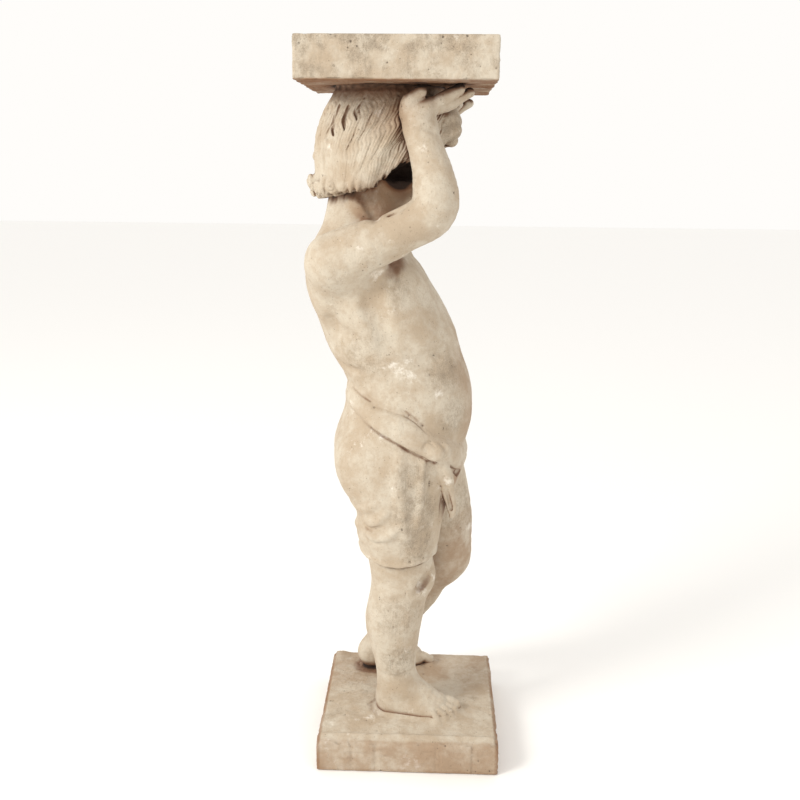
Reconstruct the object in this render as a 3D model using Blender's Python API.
"""A child figure that carries a square block on its head and both raised hands, standing on a square
plinth. It is one casting of aged plaster, modelled for Blender 4.5.

The figure is laid out in its own units, about a centimetre each, with its height from the plinth to the
block as FIGURE_HEIGHT units: x runs forward, y to the figure's left and z up from the plinth's top.
Rough masses made of Blender's primitives are remeshed into one skin, and the skin is then drawn onto
the blended forms, as a sculptor works from the armature outwards."""

import math

import bmesh
import bpy
import numpy as np
from mathutils import Matrix

# Driving sizes, in metres
HEIGHT = 1.200
PLINTH_LENGTH = 0.315
PLINTH_WIDTH = 0.311
PLINTH_THICKNESS = 0.060
SLAB_LENGTH = 0.302
SLAB_WIDTH = 0.305
SLAB_THICKNESS = 0.064
SLAB_SETBACK = 0.0287
EDGE_WEAR = 0.004
GROUND_RISE = 0.006
GROUND_CUTS = 13

# The figure's own units
FIGURE_HEIGHT = 107.6
UNIT = (HEIGHT - PLINTH_THICKNESS - SLAB_THICKNESS) / FIGURE_HEIGHT
INTO_BLOCK = 1.2
ROUGH_VOXEL = 0.9
FINE_VOXEL = 0.45
FIGURE_TRIANGLES = 9000

FAR = 1000.0
CELL = 5.0
NEAR = 3.0
FEW = 150
CLOTH_THICKNESS = 0.5
START_REACH = 26.0
MARCH_STEPS = 28
ROUGH_STEPS = 4
FINE_STEPS = 3
NUDGE = 0.03


def soft_min(a, b, blend):
    """The lower of two distances, rounded where they cross."""
    overlap = np.maximum(blend - np.abs(a - b), 0.0) / blend
    return np.minimum(a, b) - overlap * overlap * blend / 4


def soft_max(a, b, blend):
    return -soft_min(-a, -b, blend)


def smooth_through(at, knots, values):
    """Values at the places given, on a smooth curve through the values at the knots."""
    knots = np.asarray(knots, float)
    values = np.asarray(values, float)
    slopes = np.gradient(values, knots, axis=0)
    at = np.clip(at, knots[0], knots[-1])
    left = np.clip(np.searchsorted(knots, at) - 1, 0, len(knots) - 2)
    span = knots[left + 1] - knots[left]
    t = (at - knots[left]) / span
    if values.ndim == 2:
        span = span[:, None]
        t = t[:, None]
    start = (1 + 2 * t) * (1 - t) ** 2 * values[left] + t * (1 - t) ** 2 * span * slopes[left]
    end = t * t * (3 - 2 * t) * values[left + 1] - t * t * (1 - t) * span * slopes[left + 1]
    return start + end


class Ball:
    """An ellipsoid: its centre, its three radii and its turns about X, Y and Z in degrees."""

    def __init__(self, centre, radii, turn=(0, 0, 0)):
        self.centre = np.array(centre, float)
        self.radii = np.array(radii, float) * np.ones(3)
        x, y, z = (math.radians(angle) for angle in turn)
        turned = Matrix.Rotation(z, 3, "Z") @ Matrix.Rotation(y, 3, "Y") @ Matrix.Rotation(x, 3, "X")
        self.axes = np.array(turned)
        self.reach = self.radii.max()

    def moved(self, matrix):
        other = Ball(self.centre, self.radii)
        other.centre = matrix[:3, :3] @ self.centre + matrix[:3, 3]
        other.axes = matrix[:3, :3] @ self.axes
        return other

    def distance(self, points, under):
        local = (points - self.centre) @ self.axes
        inner = np.sqrt(((local / self.radii) ** 2).sum(1)) + 1e-9
        outer = np.sqrt(((local / self.radii**2) ** 2).sum(1)) + 1e-9
        return inner * (inner - 1) / outer

    def mass(self, bm):
        size = Matrix.Diagonal((*self.radii, 1))
        # A mirrored ball is the same ball, so its axes only need to be a rotation here.
        axes = self.axes if np.linalg.det(self.axes) > 0 else -self.axes
        place = Matrix.Translation(self.centre) @ Matrix(axes).to_4x4() @ size
        bmesh.ops.create_icosphere(bm, subdivisions=2, radius=1, matrix=place)


class Chain:
    """A round limb on a smooth curve through its points, each given as x, y, z and radius."""

    def __init__(self, points, pieces=3):
        points = np.array(points, float)
        knots = np.arange(len(points))
        at = np.linspace(0, len(points) - 1, (len(points) - 1) * pieces + 1)
        self.line = smooth_through(at, knots, points)
        self.measure()

    def measure(self):
        spots = self.line[:, :3]
        self.centre = (spots.max(0) + spots.min(0)) / 2
        self.reach = (np.linalg.norm(spots - self.centre, axis=1) + self.line[:, 3]).max()
        lengths = np.linalg.norm(spots[1:] - spots[:-1], axis=1)
        self.piece_reach = lengths / 2 + np.maximum(self.line[1:, 3], self.line[:-1, 3])

    def moved(self, matrix):
        other = Chain(self.line[:2])
        other.line = self.line.copy()
        other.line[:, :3] = self.line[:, :3] @ matrix[:3, :3].T + matrix[:3, 3]
        other.measure()
        return other

    def distance(self, points, under):
        low, high = points.min(0), points.max(0)
        starts, ends = self.line[:-1], self.line[1:]
        middles = (starts[:, :3] + ends[:, :3]) / 2
        outside = np.maximum(np.maximum(low - middles, middles - high), 0)
        close = np.linalg.norm(outside, axis=1) < self.piece_reach + NEAR
        if not close.any():
            return np.full(len(points), FAR)
        starts, ends = starts[close], ends[close]
        along = ends[:, :3] - starts[:, :3]
        offset = points[:, None, :] - starts[:, :3]
        t = np.clip(np.einsum("psk,sk->ps", offset, along) / ((along**2).sum(1) + 1e-12), 0, 1)
        gap = np.sqrt(((offset - t[..., None] * along) ** 2).sum(2))
        return (gap - starts[:, 3] - t * (ends[:, 3] - starts[:, 3])).min(1)

    def mass(self, bm):
        for start, end in zip(self.line, self.line[1:]):
            verts = []
            for x, y, z, radius in (start, end):
                place = Matrix.Translation((x, y, z))
                ball = bmesh.ops.create_icosphere(bm, subdivisions=1, radius=radius, matrix=place)
                verts += ball["verts"]
            bmesh.ops.convex_hull(bm, input=verts)


class Sections:
    """A body through level sections, each given as height, back x, front x, middle y and half width."""

    ROUNDNESS = 2.15
    RING = 32

    def __init__(self, rows):
        rows = np.array(sorted(rows), float)
        self.heights = rows[:, 0]
        middle = (rows[:, 1] + rows[:, 2]) / 2
        depth = (rows[:, 2] - rows[:, 1]) / 2
        self.values = np.stack([middle, depth, rows[:, 3], rows[:, 4]], 1)
        low, high = self.heights[0], self.heights[-1]
        self.centre = np.array([middle.mean(), rows[:, 3].mean(), (low + high) / 2])
        self.reach = math.hypot((high - low) / 2, depth.max() + rows[:, 4].max())

    def distance(self, points, under):
        values = smooth_through(points[:, 2], self.heights, self.values)
        u = np.abs(points[:, 0] - values[:, 0]) / values[:, 1] + 1e-6
        v = np.abs(points[:, 1] - values[:, 2]) / values[:, 3] + 1e-6
        power = self.ROUNDNESS
        size = (u**power + v**power) ** (1 / power)
        slope_u = (u / size) ** (power - 1) / values[:, 1]
        slope_v = (v / size) ** (power - 1) / values[:, 3]
        around = (size - 1) / np.sqrt(slope_u**2 + slope_v**2)
        beyond = np.maximum(self.heights[0] - points[:, 2], points[:, 2] - self.heights[-1])
        outside = np.sqrt(np.maximum(around, 0) ** 2 + np.maximum(beyond, 0) ** 2)
        return np.where(beyond > 0, outside, np.maximum(around, beyond))

    def mass(self, bm):
        rings = []
        count = max(4, round((self.heights[-1] - self.heights[0]) / 2))
        for z in np.linspace(self.heights[0], self.heights[-1], count):
            middle, depth, y, half = smooth_through(np.array([z]), self.heights, self.values)[0]
            place = Matrix.Translation((middle, y, z)) @ Matrix.Diagonal((depth, half, 1, 1))
            ring = bmesh.ops.create_circle(bm, segments=self.RING, radius=1, matrix=place)["verts"]
            rings.append(list({edge for vert in ring for edge in vert.link_edges}))
        for lower, upper in zip(rings, rings[1:]):
            bmesh.ops.bridge_loops(bm, edges=lower + upper)
        for ring in (rings[0], rings[-1]):
            bmesh.ops.contextual_create(bm, geom=ring)


def mirrored(parts):
    """The same parts on the figure's other side."""
    flip = np.diag([1.0, -1.0, 1.0, 1.0])
    return [(shape.moved(flip), *rest) for shape, *rest in parts]


def placed(parts, place, yaw, pitch=0.0, flip=False):
    """Parts made at the origin, turned by yaw and pitch in degrees and set at their place."""
    turn = Matrix.Rotation(math.radians(yaw), 4, "Z") @ Matrix.Rotation(math.radians(pitch), 4, "Y")
    matrix = np.array(Matrix.Translation(place) @ turn)
    if flip:
        matrix = matrix @ np.diag([1.0, -1.0, 1.0, 1.0])
    return [(shape.moved(matrix), *rest) for shape, *rest in parts]


def cells(points):
    """The points in small cubes, as each cube's middle and the numbers of the points in it."""
    if len(points) < FEW:
        middle = (points.min(0) + points.max(0)) / 2
        return [(middle, np.arange(len(points)))]
    keys, owner = np.unique(np.floor(points / CELL).astype(int), axis=0, return_inverse=True)
    order = np.argsort(owner.reshape(-1), kind="stable")
    counts = np.bincount(owner.reshape(-1), minlength=len(keys))
    return zip((keys + 0.5) * CELL, np.split(order, np.cumsum(counts)[:-1]))


def field(points, parts):
    """Distance from each point to the parts, each blended into those before it. A third value of -1
    carves the shape away instead."""
    result = np.full(len(points), FAR)
    centres = np.array([shape.centre for shape, *_ in parts])
    reaches = np.array([shape.reach + blend for shape, blend, *_ in parts])
    for middle, members in cells(points):
        block = points[members]
        value = np.full(len(block), FAR)
        size = np.linalg.norm(block - middle, axis=1).max() + NEAR
        for i in np.flatnonzero(np.linalg.norm(centres - middle, axis=1) < reaches + size):
            shape, blend, *carve = parts[i]
            if carve:
                value = soft_max(value, -shape.distance(block, value), blend)
            else:
                value = soft_min(value, shape.distance(block, value), blend)
        result[members] = value
    return result


def touch(parts, axis, angles, heights, lift=0.0):
    """Points on the parts' surface, seen from an upright axis at each angle and height. An angle of 0 is
    the front, 90 the figure's right, 180 the back and 270 its left."""
    turns = np.radians(angles)
    outward = np.stack([np.cos(turns), -np.sin(turns), np.zeros(len(turns))], 1)
    base = np.stack([np.full(len(turns), axis[0]), np.full(len(turns), axis[1]), heights], 1)
    out = np.full(len(turns), START_REACH)
    for _ in range(MARCH_STEPS):
        gap = field(base + out[:, None] * outward, parts) - lift
        out = np.maximum(out - np.clip(gap, -0.5, 3.0) * 0.85, 0.2)
    return base + out[:, None] * outward


def ribbon(parts, axis, route, radius, lift=0.0, pieces=3):
    """A raised roll along the parts' surface, through a route of angles and heights."""
    route = np.array(route, float)
    at = np.linspace(0, len(route) - 1, (len(route) - 1) * pieces + 1)
    route = smooth_through(at, np.arange(len(route)), route)
    spots = touch(parts, axis, route[:, 0], route[:, 1], lift)
    ends = np.sin(np.pi * np.linspace(0.12, 0.88, len(spots))) ** 0.6
    return Chain(np.column_stack([spots, radius * ends]), 1)


def trunk():
    """Belly, back, chest and neck, from the hips up."""
    body = Sections([
        (39.0, -9.0, 5.5, 0, 9.8), (43.0, -11.8, 7.6, 0, 11.4), (46.0, -12.8, 8.4, 0, 12.0),
        (48.5, -13.1, 8.7, 0, 12.2), (51.0, -12.8, 9.4, 0, 11.9), (53.0, -12.1, 9.9, 0, 11.6),
        (55.0, -11.4, 10.1, 0, 11.3), (57.0, -11.0, 10.1, 0, 11.0), (59.2, -10.9, 9.9, 0, 10.8),
        (61.3, -11.7, 9.4, 0, 10.7), (65.5, -14.2, 7.9, 0, 10.8), (69.5, -15.7, 6.7, 0, 11.0),
        (73.6, -17.0, 4.6, 0, 11.3), (77.6, -18.1, 2.1, 0, 11.4), (79.6, -18.2, 0.6, 0, 11.2),
        (82.0, -17.6, -0.8, 0, 10.3), (84.0, -16.5, -1.2, 0, 8.8), (86.0, -15.4, -1.3, 0, 7.4),
        (88.0, -14.8, -0.9, 0, 6.5), (90.0, -14.4, -0.5, 0, 6.1), (94.0, -13.6, 0.0, 0, 5.8),
    ])
    breast = Ball((-2.8, -4.9, 77.4), (4.6, 4.2, 3.6), (0, 28, 0))
    blade = Ball((-14.1, -6.2, 77.0), (3.0, 4.2, 6.0), (0, -8, 0))
    seat = Ball((-7.3, -5.9, 47.0), (5.0, 5.4, 5.8))
    halves = [(breast, 1.6), (blade, 2.0), (seat, 1.6)]
    spine = Chain([(-13.2, 0, 62.0, 1.0), (-17.3, 0, 70.0, 1.0), (-19.6, 0, 78.0, 1.0),
                   (-18.6, 0, 84.0, 0.6)])
    navel = Ball((10.3, 0, 56.6), (0.9, 0.6, 0.7))
    return [(body, 1.0), *halves, *mirrored(halves), (spine, 2.2, -1), (navel, 0.9, -1)]


def right_leg():
    """The straight leg that carries the weight."""
    leg = Sections([
        (0.5, -5.5, 0.5, -4.7, 2.9), (4.0, -5.8, 1.2, -4.8, 3.1), (7.9, -5.9, 1.1, -4.9, 3.3),
        (11.5, -6.6, 1.3, -4.9, 3.8), (14.2, -7.3, 1.6, -4.9, 4.3), (16.5, -7.8, 1.9, -4.9, 4.7),
        (18.8, -7.8, 2.3, -4.9, 4.9), (21.2, -7.4, 2.7, -4.9, 4.9), (23.5, -7.0, 3.2, -4.9, 4.9),
        (25.7, -6.8, 3.6, -4.9, 5.0), (28.0, -7.1, 3.7, -5.0, 5.3), (30.2, -7.5, 3.8, -5.1, 5.6),
        (32.4, -8.2, 3.9, -5.2, 5.9), (34.6, -8.8, 4.0, -5.3, 6.2), (36.8, -8.8, 4.1, -5.4, 6.5),
        (39.0, -8.9, 4.4, -5.4, 6.7), (42.0, -10.4, 4.6, -5.4, 6.7), (46.0, -11.0, 4.5, -5.2, 6.4),
    ])
    kneecap = Ball((2.2, -5.0, 26.2), (2.0, 2.6, 2.8))
    return [(leg, 1.8), (kneecap, 1.6)]


def left_leg():
    """The bent leg, with its knee forward and its heel just off the ground."""
    thigh = Chain([(0.8, 5.2, 46.0, 7.3), (2.6, 6.3, 39.5, 7.2), (4.2, 7.0, 33.5, 6.7),
                   (5.1, 7.4, 28.5, 5.9), (5.1, 7.6, 24.4, 5.2)])
    shin = Chain([(5.0, 7.6, 24.6, 4.8), (3.2, 8.2, 20.7, 4.0), (1.2, 8.9, 17.0, 4.0),
                  (-1.0, 9.4, 13.5, 3.55), (-3.4, 9.8, 10.2, 2.85), (-4.5, 10.0, 7.2, 2.5)])
    kneecap = Ball((7.5, 7.7, 25.2), (2.9, 2.9, 3.2))
    return [(thigh, 2.2), (shin, 1.4), (kneecap, 2.2)]


def foot():
    """A right foot on the ground at the origin's height, its heel at the origin and its toes forward."""
    heel = Ball((2.9, 0, 2.3), (2.9, 2.7, 3.0))
    instep = Chain([(4.6, 0.0, 5.2, 2.9), (7.6, 0.2, 3.3, 2.6), (10.8, 0.3, 1.9, 1.9)])
    outer = Chain([(3.4, -0.9, 1.3, 1.9), (7.5, -1.8, 1.3, 1.7), (10.2, -2.1, 1.0, 1.3)])
    pad = Ball((11.2, 1.3, 1.3), (1.9, 1.5, 1.4))
    toes = [(12.0, 1.4, 14.2, 1.3, 1.1), (12.0, 0.2, 14.1, 0.0, 0.85), (11.6, -0.8, 13.4, -1.2, 0.8),
            (11.0, -1.7, 12.5, -2.2, 0.75), (10.1, -2.5, 11.4, -3.1, 0.7)]
    parts = [(heel, 1.0), (instep, 1.6), (outer, 1.4), (pad, 1.2)]
    for x, y, tip_x, tip_y, radius in toes:
        root = (x, y, radius + 0.3, radius)
        middle = ((x + tip_x) / 2, (y + tip_y) / 2, radius + 0.55, radius * 0.9)
        parts.append((Chain([root, middle, (tip_x, tip_y, radius - 0.1, radius)]), 0.3))
    return parts


def feet():
    right = placed(foot(), (-5.9, -4.3, -0.2), -8)
    left = placed(foot(), (-10.6, 9.2, 1.5), 15, pitch=8, flip=True)
    return right + left


def arm():
    """The right arm: forward and up to the elbow, then upright to the wrist."""
    limb = Chain([
        (-12.4, -9.7, 80.8, 4.8), (-8.0, -10.5, 82.9, 4.3), (-4.4, -10.9, 84.5, 3.7),
        (-1.5, -11.1, 86.1, 3.4), (1.3, -11.1, 87.5, 3.5), (3.0, -11.1, 89.3, 3.65),
        (3.2, -11.0, 91.6, 3.55), (2.75, -10.7, 94.5, 3.1), (2.0, -10.4, 97.0, 2.8),
        (1.2, -10.1, 99.4, 2.6), (0.7, -9.9, 101.3, 2.7), (0.3, -9.6, 103.0, 2.6),
    ])
    return [(limb, 2.0)]


def hand():
    """The right hand, bent back at the wrist with its palm up under the block."""
    palm = Ball((0.9, -8.9, 103.9), (3.1, 2.7, 1.6), (0, -24, 0))
    fingers = [
        [(2.4, -9.9, 104.5, 1.05), (4.3, -9.6, 105.7, 0.95), (6.6, -9.1, 107.0, 0.8)],
        [(3.1, -8.8, 104.3, 1.05), (5.5, -8.3, 105.2, 0.9), (8.1, -7.8, 106.5, 0.75)],
        [(3.0, -7.7, 104.1, 1.0), (5.3, -7.0, 104.9, 0.9), (7.6, -6.4, 106.3, 0.72)],
        [(2.4, -6.8, 103.9, 0.95), (4.5, -5.9, 104.6, 0.8), (6.3, -5.2, 106.2, 0.68)],
    ]
    thumb = [(-0.9, -9.9, 103.6, 1.6), (-0.9, -10.8, 105.0, 1.2), (0.7, -11.1, 106.3, 0.9)]
    return [(palm, 1.0), (Chain(thumb), 0.5)] + [(Chain(finger), 0.35) for finger in fingers]


def head():
    """Skull and a calm, rounded child's face of common proportions."""
    face = [
        (Ball((-5.0, 0, 98.0), (8.8, 6.9, 8.7)), 1.2),
        (Ball((0.0, -3.1, 93.9), (3.0, 3.2, 3.2)), 1.6),
        (Ball((0.0, 3.1, 93.9), (3.0, 3.2, 3.2)), 1.6),
        (Ball((0.9, 0, 91.2), (1.9, 2.1, 1.6)), 1.2),
        (Chain([(3.3, -4.0, 98.0, 0.6), (4.0, -2.2, 98.5, 0.6), (3.9, 0, 98.3, 0.6), (4.0, 2.2, 98.5, 0.6),
                (3.3, 4.0, 98.0, 0.6)]), 1.0),
        (Ball((3.6, -2.5, 96.7), (0.9, 1.5, 0.9)), 0.8, -1),
        (Ball((3.6, 2.5, 96.7), (0.9, 1.5, 0.9)), 0.8, -1),
        (Ball((2.6, -2.5, 96.7), (1.0, 1.2, 0.9)), 0.2),
        (Ball((2.6, 2.5, 96.7), (1.0, 1.2, 0.9)), 0.2),
        (Chain([(3.7, 0, 97.6, 0.6), (4.1, 0, 96.2, 0.7), (4.5, 0, 95.0, 0.85)]), 0.6),
        (Ball((3.0, 0, 93.2), (0.9, 1.7, 0.5)), 0.4),
        (Ball((2.8, 0, 92.4), (0.9, 1.4, 0.5)), 0.3),
    ]
    return face


HEAD_AXIS = (-5.5, 0.0)


class Bob:
    """Thick hair to the nape, cut off below along a line that rises towards the brow."""

    def __init__(self):
        self.full = Sections([
            (89.0, -16.0, 2.0, 0, 8.1), (92.0, -16.2, 3.2, 0, 8.6), (95.0, -15.8, 4.4, 0, 9.0),
            (98.0, -15.7, 5.0, 0, 9.1), (101.0, -15.2, 5.2, 0, 8.9), (103.5, -14.4, 5.2, 0, 8.5),
            (105.3, -13.6, 4.9, 0, 7.9), (106.5, -13.0, 4.4, 0, 7.4),
            (FIGURE_HEIGHT + INTO_BLOCK, -13.4, 4.2, 0, 7.4),
        ])
        self.centre = self.full.centre
        self.reach = self.full.reach

    def edge(self, x):
        return smooth_through(x, [-18, -14, -10, -7, -5.5, -4, -1.5, 1, 4, 8],
                              [90.6, 91.0, 91.9, 92.4, 93.3, 94.8, 96.4, 97.6, 98.9, 99.6])

    def distance(self, points, under):
        below = (self.edge(points[:, 0]) - points[:, 2]) * 0.8
        return soft_max(self.full.distance(points, under), below, 0.8)

    def mass(self, bm):
        self.full.mass(bm)


def locks(bob):
    """Waves of hair from the crown: upright at the back, swept back and down along the sides."""
    parts = []
    for angle in range(150, 211, 12):
        route = [(angle, 105.5), (angle + 2, 101.0), (angle - 2, 96.5), (angle, 92.5)]
        parts.append((ribbon(bob, HEAD_AXIS, route, 1.0), 0.7))
    for start in range(60, 141, 11):
        low = 96.9 - (start - 60) * 0.065
        route = [(start, 105.0), (start + 4, 101.5), (start + 14, 98.0), (start + 20, low - 2.6)]
        lock = [(ribbon(bob, HEAD_AXIS, route, 0.95), 0.7)]
        parts += lock + mirrored(lock)
    return parts


def curls():
    """Round curl ends along the lower edge, the nape's heavy curl and the rough forelock."""
    side = []
    for x, y, z, radius in ((-13.6, -6.2, 91.9, 1.3), (-11.7, -7.6, 92.0, 1.0), (-9.9, -8.2, 92.3, 0.9),
                            (-8.2, -8.5, 92.7, 0.85), (-6.6, -8.6, 93.4, 0.9)):
        side.append((Ball((x, y, z), radius), 0.4))
    nape = [(Ball((-16.4, -1.8, 92.1), (1.7, 1.6, 1.6)), 0.6),
            (Ball((-16.2, 1.9, 92.4), (1.5, 1.6, 1.5)), 0.6),
            (Ball((-15.6, -4.3, 92.0), (1.4, 1.4, 1.4)), 0.5),
            (Ball((-16.9, 0.6, 97.0), (0.8, 0.9, 0.9)), 0.4)]
    forelock = [(Ball((4.4, 0.0, 102.3), (2.7, 3.6, 3.0)), 0.8),
                (Ball((5.8, -1.6, 101.2), (1.9, 1.7, 1.8)), 0.5),
                (Ball((5.8, 1.6, 101.6), (1.9, 1.7, 1.9)), 0.5),
                (Ball((5.2, -0.3, 104.2), (1.6, 1.9, 1.5)), 0.5),
                (Ball((4.7, -2.9, 100.9), (1.6, 1.4, 1.6)), 0.5),
                (Ball((5.7, -0.4, 99.7), (1.3, 1.5, 1.2)), 0.4)]
    return side + mirrored(side) + nape + forelock


HIP_AXIS = (-2.0, 0.0)
SASH_ANGLES = [0, 30, 54, 66, 90, 114, 140, 180, 225, 270, 310, 360]
SASH_HEIGHTS = [46.8, 47.8, 49.9, 51.2, 53.9, 55.4, 56.6, 57.2, 56.2, 52.6, 48.6, 46.8]
HEM_ANGLES = [0, 8, 13, 20, 50, 90, 120, 150, 180, 225, 270, 300, 330, 360]
HEM_HEIGHTS = [50, 46, 33, 31.5, 31.2, 30.2, 30.9, 32.4, 33.5, 37, 42, 46, 50, 50]


class Cloth:
    """The wrap from the sash down to its hem, lying on whatever is under it."""

    def __init__(self):
        self.centre = np.array([-2.0, 0.0, 43.0])
        self.reach = 24.0

    def distance(self, points, under):
        angle = np.degrees(np.arctan2(-(points[:, 1] - HIP_AXIS[1]), points[:, 0] - HIP_AXIS[0])) % 360
        over_hem = np.interp(angle, HEM_ANGLES, HEM_HEIGHTS) - points[:, 2]
        under_sash = points[:, 2] - np.interp(angle, SASH_ANGLES, SASH_HEIGHTS)
        return soft_max(under - CLOTH_THICKNESS, np.maximum(over_hem, under_sash) * 0.7, 0.5)


def drapery(under):
    """The wrap, its twisted sash, the knot with its hanging end, and the folds."""
    parts = [(Cloth(), 0.15)]
    sash = []
    angles = np.arange(0, 361, 12)
    heights = smooth_through(angles, SASH_ANGLES, SASH_HEIGHTS)
    sideways = np.abs(np.sin(np.radians(angles)))
    for rise, twist, radius in ((1.25, 0.0, 1.25), (0.0, 2.1, 1.35), (-1.25, 4.2, 1.2)):
        spots = touch(under, HIP_AXIS, angles, heights + rise * (0.6 + 0.4 * sideways), sideways - 0.9)
        swell = radius * (1 + 0.12 * np.sin(np.radians(angles) * 5 + twist))
        sash.append((Chain(np.column_stack([spots, swell]), 1), 0.5))
    knot = [(Ball((3.6, -9.5, 50.0), (2.3, 1.6, 2.0), (0, 18, -30)), 0.4),
            (Ball((5.2, -8.2, 49.1), (1.4, 1.5, 1.5)), 0.3)]
    front_tail = Chain([(4.4, -7.9, 48.0, 0.9), (5.3, -7.2, 45.0, 1.15), (6.0, -6.2, 42.0, 1.05),
                        (6.4, -5.4, 39.9, 0.5)])
    back_tail = Chain([(3.4, -8.4, 48.0, 0.8), (4.2, -7.6, 45.0, 1.0), (4.9, -6.6, 42.0, 0.9),
                       (5.2, -5.8, 38.5, 0.6)])
    tail = [(front_tail, 0.4), (back_tail, 0.4)]
    parts += sash + knot + tail
    leg_axis = (-2.4, -5.2)
    folds = [
        [(36, 47.0), (28, 42.0), (26, 37.0), (30, 32.5)], [(14, 43.0), (12, 38.0), (14, 34.0), (22, 31.5)],
        [(166, 40.5), (140, 40.0), (118, 41.5)], [(164, 37.6), (140, 36.6), (116, 38.2)],
        [(160, 34.6), (136, 33.8), (112, 35.6), (98, 38.0)], [(205, 39.5), (232, 38.6), (250, 40.5)],
    ]
    cloth_top = [*under, parts[0]]
    for route in folds:
        parts.append((ribbon(cloth_top, leg_axis, route, 0.75, -0.2), 0.7))
    hem = [(angle, height + 0.3) for angle, height in zip(HEM_ANGLES[3:9], HEM_HEIGHTS[3:9])]
    parts.append((ribbon(cloth_top, HIP_AXIS, hem, 0.4, -0.1), 0.3))
    return parts, sash + knot + tail


def figure_parts():
    """Every form of the figure in the order in which they blend, and the ones that give it its mass."""
    under = trunk() + right_leg() + left_leg()
    limbs = arm() + mirrored(arm())
    lower_hand = Matrix.Translation((0.5, 0, -0.6))
    left_hand = [(shape.moved(np.array(lower_hand)), *rest) for shape, *rest in mirrored(hand())]
    ends = feet() + hand() + left_hand
    skull = head()
    bob = [(Bob(), 0.5)]
    tufts = curls()
    wrap, proud = drapery(under)
    solid = under + limbs + ends + proud + skull + bob + tufts
    parts = under + limbs + ends + wrap + skull + bob + locks(bob) + tufts
    return parts, [shape for shape, _, *carve in solid if not carve]


def mesh_of(obj):
    """The object's mesh with its modifiers applied."""
    graph = bpy.context.evaluated_depsgraph_get()
    return bpy.data.meshes.new_from_object(obj.evaluated_get(graph), depsgraph=graph)


def apply_modifiers(obj):
    old = obj.data
    obj.data = mesh_of(obj)
    obj.modifiers.clear()
    bpy.data.meshes.remove(old)


def rough_figure(shapes):
    """The masses joined into one closed skin."""
    bm = bmesh.new()
    for shape in shapes:
        shape.mass(bm)
    mesh = bpy.data.meshes.new("cherub_figure")
    bm.to_mesh(mesh)
    bm.free()
    obj = bpy.data.objects.new("cherub_figure", mesh)
    bpy.context.scene.collection.objects.link(obj)
    return obj


def remesh(obj, voxel):
    skin = obj.modifiers.new("Skin", "REMESH")
    skin.mode = "VOXEL"
    skin.voxel_size = voxel
    apply_modifiers(obj)


def draw_onto(obj, parts, steps):
    """Moves each point of the skin to where the parts' blended distance is nought."""
    count = len(obj.data.vertices)
    flat = np.empty(count * 3, np.float32)
    obj.data.vertices.foreach_get("co", flat)
    points = flat.reshape(-1, 3).astype(float)
    for _ in range(steps):
        value = field(points, parts)
        slope = np.empty_like(points)
        for axis in range(3):
            step = np.zeros(3)
            step[axis] = NUDGE
            slope[:, axis] = (field(points + step, parts) - value) / NUDGE
        length = np.maximum((slope**2).sum(1), 0.25)
        points -= slope * (np.clip(value, -1.0, 1.0) / length)[:, None]
    obj.data.vertices.foreach_set("co", points.astype(np.float32).reshape(-1))
    obj.data.update()


def ground_height(x, y):
    """Earth modelled on the plinth, as shares of the plinth's half length and half width: heaped under
    each foot, hollow between them, and level at the rim."""
    heaps = ((0.1, -0.4, 0.75, 0.3, 1.0), (-0.3, 0.7, 0.6, 0.3, 0.8), (-0.6, -0.1, 0.3, 0.6, 0.5),
             (0.35, 0.2, 0.4, 0.25, -0.6))
    height = sum(rise * math.exp(-(((x - at_x) / long) ** 2) - ((y - at_y) / wide) ** 2)
                 for at_x, at_y, long, wide, rise in heaps)
    return GROUND_RISE * height * (1 - x**6) * (1 - y**6)


def heap_ground(bm):
    """Cuts the plinth's top into a grid and raises it to the modelled earth."""
    top = max(bm.faces, key=lambda face: face.calc_center_median().z)
    level = top.calc_center_median().z
    bmesh.ops.subdivide_edges(bm, edges=top.edges[:], cuts=GROUND_CUTS, use_grid_fill=True)
    for vert in bm.verts:
        if vert.co.z > level - EDGE_WEAR / 10:
            vert.co.z += ground_height(2 * vert.co.x / PLINTH_LENGTH, 2 * vert.co.y / PLINTH_WIDTH)


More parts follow.
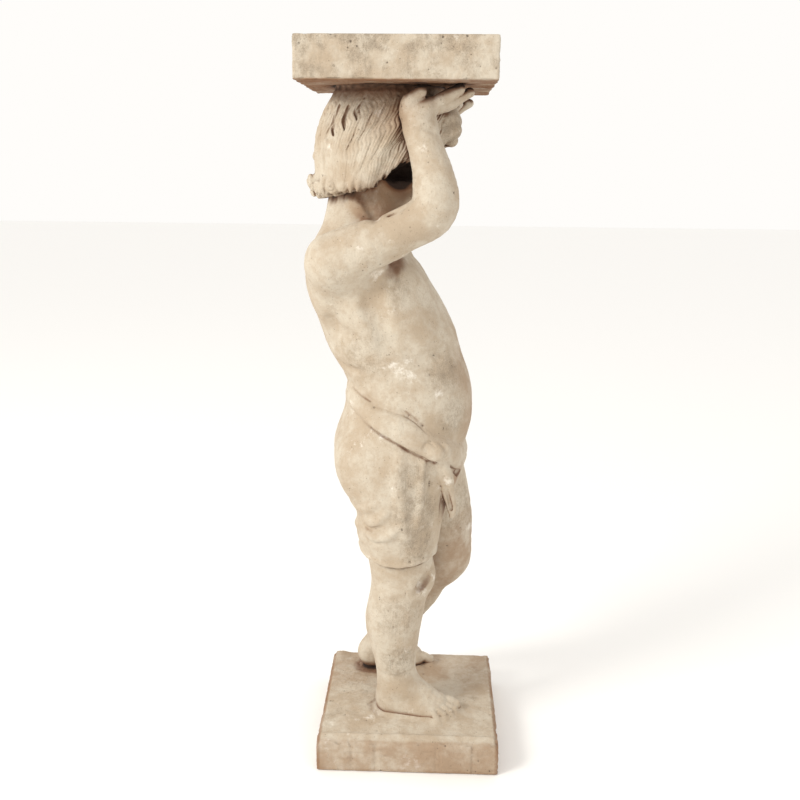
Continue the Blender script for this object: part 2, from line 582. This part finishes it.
def block(name, length, width, low, high, middle_x, finish=None):
    """A square block with worn edges, between two heights."""
    bm = bmesh.new()
    size = Matrix.Diagonal((length, width, high - low, 1))
    place = Matrix.Translation((middle_x, 0, (low + high) / 2)) @ size
    bmesh.ops.create_cube(bm, size=1, matrix=place)
    bmesh.ops.bevel(bm, geom=bm.edges[:], offset=EDGE_WEAR, segments=2, profile=0.5, affect="EDGES",
                    material=-1)
    if finish:
        finish(bm)
    mesh = bpy.data.meshes.new(name)
    bm.to_mesh(mesh)
    bm.free()
    obj = bpy.data.objects.new(name, mesh)
    bpy.context.scene.collection.objects.link(obj)
    obj.hide_render = True
    obj.display_type = "WIRE"
    return obj


def aged_plaster():
    material = bpy.data.materials.new("aged_plaster")
    material.use_nodes = True
    shader = material.node_tree.nodes["Principled BSDF"]
    shader.inputs["Base Color"].default_value = (0.62, 0.50, 0.37, 1)
    shader.inputs["Roughness"].default_value = 0.85
    shader.inputs["Metallic"].default_value = 0.0
    return material


def cherub_statue():
    """The whole casting: figure, plinth and block in one closed solid."""
    parts, masses = figure_parts()
    statue = rough_figure(masses)
    remesh(statue, ROUGH_VOXEL)
    draw_onto(statue, parts, ROUGH_STEPS)
    remesh(statue, FINE_VOXEL)
    draw_onto(statue, parts, FINE_STEPS)
    fewer = statue.modifiers.new("Facets", "DECIMATE")
    triangles = 2 * len(statue.data.polygons)
    fewer.ratio = FIGURE_TRIANGLES / triangles
    fewer.use_collapse_triangulate = True
    apply_modifiers(statue)
    to_metres = Matrix.Diagonal((UNIT, UNIT, UNIT, 1))
    statue.data.transform(Matrix.Translation((0, 0, PLINTH_THICKNESS)) @ to_metres)
    plinth = block("plinth_block", PLINTH_LENGTH, PLINTH_WIDTH, 0, PLINTH_THICKNESS, 0, heap_ground)
    slab = block("carried_block", SLAB_LENGTH, SLAB_WIDTH, HEIGHT - SLAB_THICKNESS, HEIGHT, -SLAB_SETBACK)
    for other in (plinth, slab):
        union = statue.modifiers.new("Fuse " + other.name, "BOOLEAN")
        union.operation = "UNION"
        union.object = other
    statue.name = "cherub_statue"
    statue.data.name = "cherub_statue"
    statue.data.materials.append(aged_plaster())
    for polygon in statue.data.polygons:
        polygon.use_smooth = True
    return statue


def clear_scene():
    for obj in list(bpy.data.objects):
        bpy.data.objects.remove(obj)


clear_scene()
cherub_statue()
